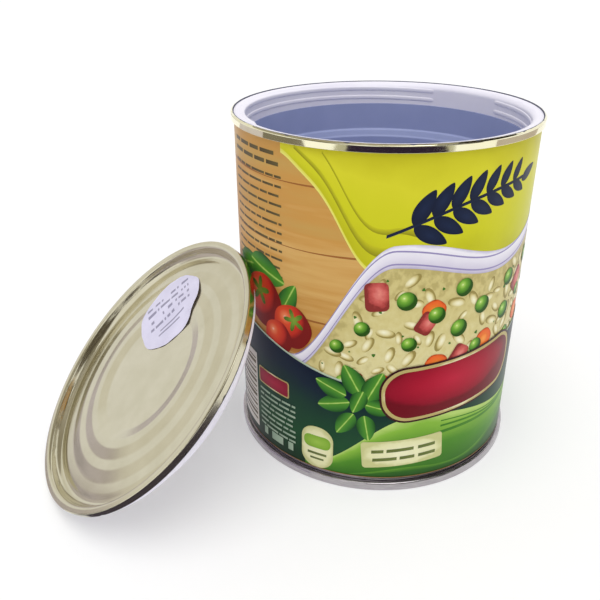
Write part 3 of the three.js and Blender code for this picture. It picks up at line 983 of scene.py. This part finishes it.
def leaves_at(spots, width, layer, step):
    """Leaves at (across, up, turn, length), each a step above the last."""
    return [
        motif(leaf(length, length * width), (x, z), turn, layer + i * step)
        for i, (x, z, turn, length) in enumerate(spots)
    ]


def print_tomatoes():
    """Tomatoes and leaves on the board, at both sides of the yellow field."""
    fruit = [
        motif(blob(size, 5, 0.02), (x, z), layer=layer)
        for size, x, z, layer in (
            (9.5, -41, 62, 9), (7.6, -27.5, 57, 10), (6.2, -33.5, 51, 11),
            (8.6, -58, 57, 9), (9.0, 134, 60, 9), (7.0, 147, 56, 10),
        )
    ]
    printed(
        "tomatoes", fruit,
        (0, "#FBD9C4"), (0.1, "#F28A5A"), (0.35, "#E2502C"), (0.8, "#C22E20"), (1.2, "#7E1814"),
        mottle=(4, 0.06), light=(-0.34, 0.36),
    )
    tops = [
        motif(blob(size, 5, 0.55, 40), (x, z), turn, 12)
        for size, x, z, turn in (
            (3.4, -42.5, 65, 12), (2.7, -26.5, 59.5, 40), (3.2, 132, 63, 70), (2.6, 148, 58, 20),
        )
    ]
    printed("tomato_stalks", tops, (0, "#86A83A"), (1, "#3E6A1C"), mottle=(2, 0.3))
    spots = [
        (-50, 72, 15, 17), (-39, 73, -12, 18), (-47, 66, 48, 14), (-29, 66, 62, 13),
        (140, 68, 20, 17), (128, 70, -30, 15), (152, 66, 70, 14),
    ]
    printed("board_leaves", leaves_at(spots, 0.55, 7, 0.25), *LEAF_STOPS, reading="up", mottle=(2.4, 0.06))


def print_meadow():
    """The dark band with a pale line on top, and the meadow, its furrows and a sprig at its foot."""
    printed(
        "dark_band", [all_round(PRINT_FOOT, band_top, 22, 8)],
        (0, "#0D2A16"), (0.3, "#174A28"), (0.62, "#163A2C"), (0.85, "#132434"), (1, "#101B31"),
        reading="up", mottle=(14, 0.12),
    )
    printed(
        "pale_line", [all_round(band_top, above(band_top, 0.7), 22, 1)],
        (0, "#9FB49A"), (1, "#C3D0BC"), reading="up", mottle=(6, 0.3),
    )
    printed(
        "meadow", [field(-22, 128, PRINT_FOOT, meadow_top, 23, 5)],
        (0, "#2E661A"), (0.5, "#4E8A24"), (0.85, "#84B43C"), (1, "#B4D070"),
        reading="up", mottle=(9, 0.18), grain=(0.4, 1),
    )
    printed(
        "hill", [field(-6, 122, PRINT_FOOT, hill_top, 24, 4)],
        (0, "#1E4A18"), (0.6, "#2E621C"), (1, "#5E942C"), reading="up", mottle=(7, 0.2), grain=(0.4, 1),
    )
    furrows = []
    for depth in (3.4, 5.6, 8.4):
        edges = [above(meadow_top, -share * depth, 24, depth * 0.02) for share in (1, 0.86)]
        furrows.append(field(24, 88, *edges, 23.6, 1))
    printed("furrows", furrows, (0, "#3C7A1E"), (1, "#5C9828"), reading="across", mottle=(4, 0.3))
    spots = [
        (-12, 33, 196, 11), (-8, 26, 238, 10), (-1, 25, 280, 10), (-13, 39, 158, 11),
        (-6, 43, 118, 12), (1, 41, 66, 12), (3, 33, 345, 10), (-4, 35, 250, 9),
    ]
    printed("sprig", leaves_at(spots, 0.6, 25, 0.5), *LEAF_STOPS, reading="up", mottle=(2.4, 0.06))


PLATE_LEAN = 5  # degrees
TAG_MIDDLE = 11.5


def print_plates():
    """Bare plates, tags and panels."""
    middle = (30, 39.5)
    printed(
        "plate_outline", [motif(plate(55, 21.2, 9.2), middle, PLATE_LEAN, 30)],
        (0, "#2C1016"), (1, "#3C161C"), mottle=(4, 0.2),
    )
    printed(
        "plate_border", [motif(plate(53.6, 19.8, 8.6), middle, PLATE_LEAN, 31)],
        *CREAM, mottle=(5, 0.1),
    )
    printed(
        "red_plate", [motif(plate(51.4, 17.6, 7.8), middle, PLATE_LEAN, 32)],
        (0, "#BA1A38"), (0.5, "#A8122E"), (0.85, "#900C26"), (1.2, "#6E081A"),
        mottle=(8, 0.1), light=(-0.1, 0.3),
    )
    wide_tag = motif(plate(27.5, 10.6, 1.2), (TAG_MIDDLE, 15.2), PLATE_LEAN, 31)
    printed(
        "pale_tags", [wide_tag, motif(plate(11.6, 17, 5.2), (-17.5, 13.4), 0, 31)],
        (0, "#EDEBC6"), (0.8, "#E2E0B0"), (1, "#C8C88C"), mottle=(4, 0.25),
    )
    printed(
        "lime_patch", [motif(plate(9.8, 5.2, 2.2), (-17.5, 15.6), 0, 32)],
        (0, "#9CC24A"), (1, "#7FAA34"), mottle=(4, 0.2),
    )
    printed("red_tab_border", [motif(plate(16, 6.6, 1), (-36.6, 32), 0, 31)], *CREAM, mottle=(5, 0.1))
    printed(
        "red_tab", [motif(plate(15, 5.6, 0.8), (-36.6, 32), 0, 32)],
        (0, "#B02440"), (1, "#8E1830"), mottle=(4, 0.2),
    )
    back = motif(plate(66, 62, 4), (-108, 80), 0, 5)
    printed(
        "pale_panels", [back, field(-61, -46, PRINT_FOOT + 3, 39, 31, 4)],
        (0, "#E9E5DA"), (1, "#DDD8CC"), mottle=(12, 0.3),
    )


def rows_of_bars(lines, left, right, top, spacing, height, layer, seed):
    """Plain bars in ragged rows. Their lengths come from a small generator, the same on every run."""
    state = seed
    shapes = []
    for line in range(lines):
        x = left
        z = top - line * spacing
        while x < right:
            state = (state * 1103515245 + 12345) % 2**31
            length = 1.8 + 5.5 * state / 2**31
            end = min(x + length, right)
            if end - x > 1:
                shapes.append(field(x, end, z, z + height, layer, 1))
            x = end + height * 0.75
    return shapes


def print_bars():
    """Plain bars, level ones in rows and a few that lean with the wide tag."""
    heads = rows_of_bars(2, -59, -32, 111, 3.0, 1.2, 3, 77)
    small = rows_of_bars(12, -59, -31, 104.5, 2.9, 0.75, 3, 5)
    table = rows_of_bars(18, -138, -79, 106, 3.1, 1.1, 6, 11)
    rules = [field(-138, -78, 104.9 - 3.1 * i, 105.1 - 3.1 * i, 6.5, 1) for i in range(18)]
    heights = (0.7, 1.2, 0.5, 0.9, 0.5, 1.3, 0.6) * 2
    stack = [field(-60, -47, 10 + 2 * i, 10 + 2 * i + height, 32, 1) for i, height in enumerate(heights)]
    printed(
        "dark_bars", heads + small + table + rules + stack,
        (0, "#4E4228"), (1, "#645834"), reading="across", mottle=(3, 0.2),
    )
    pale = rows_of_bars(8, -44, -26, 26, 2.1, 0.8, 31, 19) + rows_of_bars(1, -42, -27, 7.6, 3, 3.2, 31, 4)
    printed("light_bars", pale, (0, "#93AA92"), (1, "#A8BCA4"), reading="across", mottle=(3, 0.2))
    slope = math.tan(math.radians(PLATE_LEAN))
    leaning = []
    for z, row in ((15.8, ((1, 4), (6, 9), (16.5, 6))), (12.4, ((1.5, 8), (10.5, 5), (16.8, 6)))):
        edges = [above(lambda x: 0, level, TAG_MIDDLE, slope) for level in (z, z + 1.3)]
        leaning += [field(x, x + width, *edges, 33, 1) for x, width in row]
    short = [field(-21, -14, 10.2, 11.2, 32, 1), field(-20, -15, 8.2, 9, 32, 1)]
    printed(
        "olive_bars", leaning + short,
        (0, "#5E6A34"), (1, "#6E7A40"), reading="across", mottle=(3, 0.2),
    )


def print_ornament():
    """The edge of the paper, a navy sprig as the main ornament, and a painted shadow where the label's ends
    meet at the back.
    """
    printed(
        "brown_edge", [all_round(PRINT_FOOT, PRINT_FOOT + 0.3, 35, 1)],
        (0, "#7E5A30"), (1, "#94703E"), reading="across", mottle=(5, 0.3),
    )
    twigs = []
    for i in range(7):
        x = 9 + 5.6 * i
        length = 11.5 - 0.7 * i
        for turn in (60, -28):
            a = math.radians(turn)
            spot = (x + length * 0.55 * math.cos(a), stem(x) + length * 0.55 * math.sin(a))
            twigs.append(motif(leaf(length, length * 0.42), spot, turn, 5.4))
    twigs.append(motif(leaf(9, 3.6), (52, stem(50) + 0.5), 22, 5.4))
    printed(
        "navy_sprig", [*twigs, field(2, 50, above(stem, -0.5), above(stem, 0.5), 5.8, 1)],
        (0, "#1A2746"), (1, "#121B34"), mottle=(4, 0.3),
    )
    # A thin grey line where the label's ends meet at the back: painted shadow of the paper's edge.
    printed(
        "lap", [field(HALF_ROUND - 0.5, HALF_ROUND - 0.1, PRINT_FOOT, PRINT_HEAD, 34, 4)],
        (0, "#6E6660"), (1, "#8A827A"), reading="across", mottle=(5, 0.2),
    )


def label():
    """Coated paper printed in offset and varnished: bright inks under an even gloss."""
    paper = plain("gloss_coated_paper", "#EDE9E2", "#E6E2DA", 0.35, 9, 0.5, 0.005)
    corners = [
        (LABEL_RADIUS - PAPER, LABEL_FOOT, 0),
        (LABEL_RADIUS, LABEL_FOOT, 0.03),
        (LABEL_RADIUS, LABEL_HEAD, 0.03),
        (LABEL_RADIUS - PAPER, LABEL_HEAD, 0),
    ]
    finish(turned("printed_label", corners), paper, "label_paper", "can", "paper_label")
    print_board()
    print_yellow_field()
    print_cloth()
    print_food()
    print_tomatoes()
    print_meadow()
    print_plates()
    print_bars()
    print_ornament()


STICKER_MIDDLE = (-16.0, 17.9)
STICKER_RADIUS = 15.4
RINGS = 12
SPOKES = 96
LIFTED = 0.5  # height of the lifting edge in millimetres
LIFT_FROM = 0.62  # where the paper comes off, as a share of the radius
LIFT_WAY = 0.88  # the direction of the lifting edge in radians
STICKER_TOP = 0.14
STICKER_SHEET = 0.1


def sticker():
    """Round paper label on the lid, creased over the beads and lifting at one side."""
    bm = bmesh.new()
    coordinate = bm.verts.layers.float_vector.new("shape")
    rows = []
    for ring in range(RINGS, -1, -1):
        rows.append([])
        out = ring / RINGS
        for i in range(SPOKES if ring else 1):
            a = math.tau * i / SPOKES
            edge = STICKER_RADIUS * (1 + 0.012 * math.sin(5 * a + 1) + 0.01 * math.sin(9 * a))
            across, up = edge * out * math.cos(a), edge * out * math.sin(a)
            x, y = STICKER_MIDDLE[0] + across, STICKER_MIDDLE[1] + up
            off = eased((out - LIFT_FROM) / (1 - LIFT_FROM))
            lift = LIFTED * off * max(0, math.cos(a - LIFT_WAY)) ** 10
            crease = 0.05 * math.sin(x * 1.3 + y * 0.7) * out
            z = STICKER_TOP + lift + crease - paper_depth(math.hypot(x, y))
            vertex = bm.verts.new((x, y, z))
            vertex[coordinate] = (across, up, 0)
            rows[-1].append(vertex)
    skin(bm, rows)
    piece = mesh_object("lid_paper_sticker", bm, LID_PLACE)
    with_thickness(piece, STICKER_SHEET)
    finish(piece, sticker_paper(), "sticker_paper", "lid", "lid_sticker")


def with_thickness(piece, thickness):
    """Gives a sheet its thickness in millimetres, below the face that it shows."""
    solid = piece.modifiers.new("thickness", "SOLIDIFY")
    solid.thickness = thickness * MM
    solid.offset = -1
    applied(piece, solid)


def sticker_paper():
    """Coated label paper, printed with rows of plain grey marks of uneven length and two lines."""
    made, tree, shader = material("coated_sticker_paper", Roughness=0.55)
    grainy(tree, shader, 0.4, 3, 0.01, 0.6)
    shape = add(tree, "ShaderNodeAttribute", attribute_name="shape").outputs["Vector"]
    turned_shape = add(tree, "ShaderNodeMapping", {"Vector": shape, "Rotation": (0, 0, math.radians(104))})
    across, up, _ = add(tree, "ShaderNodeSeparateXYZ", {"Vector": turned_shape}).outputs
    rows_up = add(tree, MATHS, (up, 3.5), operation="DIVIDE")
    row = add(tree, MATHS, (rows_up,), operation="FLOOR")
    in_row = add(tree, MATHS, (rows_up,), operation="FRACT")
    shifted = add(tree, MATHS, (row, 5.3), operation="MULTIPLY")
    columns = add(tree, MATHS, (across, 1 / 0.8, shifted), operation="MULTIPLY_ADD")
    column = add(tree, MATHS, (columns,), operation="FLOOR")
    cell = add(tree, "ShaderNodeCombineXYZ", {"X": column, "Y": row})
    chance = add(tree, "ShaderNodeTexWhiteNoise", {"Vector": cell}, noise_dimensions="3D")
    # A mark shows where all its values are near their middles: value, middle, distance
    marks = (
        ((in_row, 0.5, 0.2), (chance, 0.65, 0.35), (row, -1.5, 2.2), (across, 0, 10.5)),
        ((up, 5.6, 0.4), (across, -0.5, 6.5)),
        ((up, 7.6, 0.4), (across, 1.5, 5.5)),
    )
    shown = 0
    for conditions in marks:
        every = 1
        for condition in conditions:
            met = add(tree, MATHS, condition, operation="COMPARE")
            every = add(tree, MATHS, (every, met), operation="MULTIPLY")
        shown = add(tree, MATHS, (shown, every), operation="MAXIMUM")
    faded = add(tree, MATHS, (shown, 0.75), operation="MULTIPLY")
    colours = {"Factor": faded, "A": clouded(tree, 8, 3, "#CFCBE2", "#DAD6EC"), "B": linear("#6E6A86")}
    feed(shader, {"Base Color": add(tree, "ShaderNodeMix", colours, data_type="RGBA")})
    return made


def inner_pieces():
    under_panel = -LID_PANEL - SHEET
    corners = [(36, under_panel, 0.1), (43, under_panel, 0.1), (43, -PLUG_SEAT, 0.2), (36, -PLUG_SEAT, 0.2)]
    finish(turned("glue_under_lid", corners, LID_PLACE), GLUE, "glue", "lid", "lid_glue_ring")
    for node, finish_material in (("collar_glue", GLUE), ("ballast_disc", CEMENT), ("lid_body_hook", TIN)):
        slots = frame["nodes"][node].data.materials
        slots.clear()
        slots.append(finish_material)


can_wall()
bottom()
rim()
lid_metal()
collar()
container()
plug()
seal()
label()
sticker()
inner_pieces()

# The camera where the photographer stood, fitted to the rims and the lid
CAMERA_FROM_CAN = (-0.95, -228.79, 162.61)
CAMERA_YAW = math.radians(-6.852)
CAMERA_PITCH = math.radians(27.04)
CAMERA_ROLL = math.radians(0.276)
LENS = 40.778


def camera():
    lens = bpy.data.cameras.new("camera")
    lens.lens = LENS
    lens.sensor_width = 36
    made = linked("camera", lens)
    turn = Matrix.Rotation(-CAMERA_YAW, 4, "Z") @ Matrix.Rotation(math.pi / 2 - CAMERA_PITCH, 4, "X")
    roll = Matrix.Rotation(-CAMERA_ROLL, 4, "Z")
    made.matrix_world = Matrix.Translation(CAN_AXIS + Vector(CAMERA_FROM_CAN) * MM) @ turn @ roll
    bpy.context.scene.camera = made


def seen_directly(tree):
    """1 for what the camera, metal and glass show, and 0 for light that falls on the object."""
    ray = add(tree, "ShaderNodeLightPath").outputs
    mirrored = add(tree, MATHS, (ray["Is Glossy Ray"], ray["Is Transmission Ray"]), operation="MAXIMUM")
    return add(tree, MATHS, (ray["Is Camera Ray"], mirrored), operation="MAXIMUM")


def floor():
    """Matt white board, wide enough to fill the view. Its shadows show a little lighter than they fall."""
    bpy.ops.mesh.primitive_plane_add(size=20, location=(0, 0, 0))
    made = bpy.context.object
    made.name = "floor"
    look, tree, shader = material(
        "matt_white_floor", Base_Color=linear("#FFFFFF"), Roughness=1, Specular_IOR_Level=0
    )
    glow = add(tree, "ShaderNodeEmission", {"Strength": 1.0})
    share = add(tree, MATHS, (seen_directly(tree), 0.3), operation="MULTIPLY")
    blend = add(tree, "ShaderNodeMixShader", (share, shader, glow))
    feed(tree.nodes["Material Output"], {"Surface": blend})
    made.data.materials.append(look)


def card(name, code, centre, size, facing=(0, 0, 1), edges=4):
    """A plain card beside the camera's view, that only shows in glossy surfaces."""
    radius = 0.5 / math.cos(math.pi / edges)
    bpy.ops.mesh.primitive_circle_add(vertices=edges, radius=radius, fill_type="NGON", location=centre)
    made = bpy.context.object
    made.name = name
    made.scale = (*size, 1)
    made.data.transform(Matrix.Rotation(math.pi / edges, 4, "Z"))
    made.rotation_euler = Vector(facing).to_track_quat("Z", "Y").to_euler()
    look, tree, _ = material(name)
    glow = add(tree, "ShaderNodeEmission", {"Color": linear(code)})
    feed(tree.nodes["Material Output"], {"Surface": glow})
    made.data.materials.append(look)
    for ray in ("camera", "diffuse", "shadow", "transmission", "volume_scatter"):
        setattr(made, "visible_" + ray, False)


def screen(name, code, centre, size):
    """A card that faces the lid."""
    card(name, code, centre, size, LID_CENTRE - Vector(centre))


def sun(strength, direction, angle):
    light = bpy.data.lights.new("soft_sun", "SUN")
    light.energy = strength
    light.angle = math.radians(angle)
    made = linked("soft_sun", light)
    made.rotation_euler = Vector(direction).to_track_quat("Z", "Y").to_euler()


def world(strength):
    """A white room, as the camera and glossy surfaces see it, that lights at a plain level."""
    made = bpy.data.worlds.new("soft_room")
    bpy.context.scene.world = made
    made.use_nodes = True
    tree = made.node_tree
    level = add(tree, MATHS, (seen_directly(tree), 1 - strength, strength), operation="MULTIPLY_ADD")
    feed(tree.nodes["Background"], {"Color": (1, 1, 1, 1), "Strength": level})


def from_lid(azimuth, distance, height):
    """A place in metres at one side of the lid."""
    a = math.radians(azimuth)
    return LID_CENTRE.x + distance * math.cos(a), LID_CENTRE.y + distance * math.sin(a), height


camera()
floor()
for mat, code, centre, size in (
    ("dark_mat", "#2E2338", (0.1, -0.62, 0.003), (0.53, 0.58)),
    ("grey_mat", "#B7B5A2", (0.09, -0.62, 0.001), (0.64, 0.6)),
    ("olive_mat", "#7D776A", (-0.44, -0.12, 0.003), (0.2, 0.3)),
    ("tan_mat", "#C0B5B0", (0.56, 0.25, 0.002), (0.2, 0.66)),
    ("near_mat", "#4A4450", (0.1, -0.118, 0.002), (0.33, 0.112)),
    ("left_mat", "#3A342C", (-0.118, -0.07, 0.002), (0.068, 0.14)),
):
    card(mat, code, centre, size)
screen("dark_screen", "#5A5349", from_lid(308, 0.75, 0.34), (1.1, 0.6))
screen("high_screen", "#2E2823", from_lid(15, 0.5, 0.62), (0.6, 0.45))
over_lid = LID_CENTRE + Vector((-0.004, -0.055, 0.108))
card("over_board", "#7A7464", over_lid, (0.09, 0.12), (-0.023, 0.083, -0.117))

# Cards beyond the lid on the left, which its face mirrors. Three of them face it level.
LEFT = 152  # degrees
level_way = LID_CENTRE - Vector(from_lid(LEFT, 1, LID_CENTRE.z))
card("lilac_mat", "#CFC8D2", from_lid(LEFT, 0.33, 0.002), (0.7, 0.38))
card("pale_screen", "#EAE8E2", from_lid(LEFT, 0.53, 0.29), (0.8, 0.5), level_way)
card("low_board", "#BDB5BA", from_lid(LEFT, 0.515, 0.02), (0.8, 0.05), level_way)
screen("upper_screen", "#A09A8C", from_lid(LEFT, 0.16, 0.6), (1.0, 0.85))
card("white_disc", "#F4F4F4", from_lid(LEFT, 0.5, 0.106), (0.256, 0.248), level_way, 48)
sun(1.3, (0, -0.3, 1), 50)
world(0.68)
bpy.context.scene.view_settings.view_transform = "Standard"
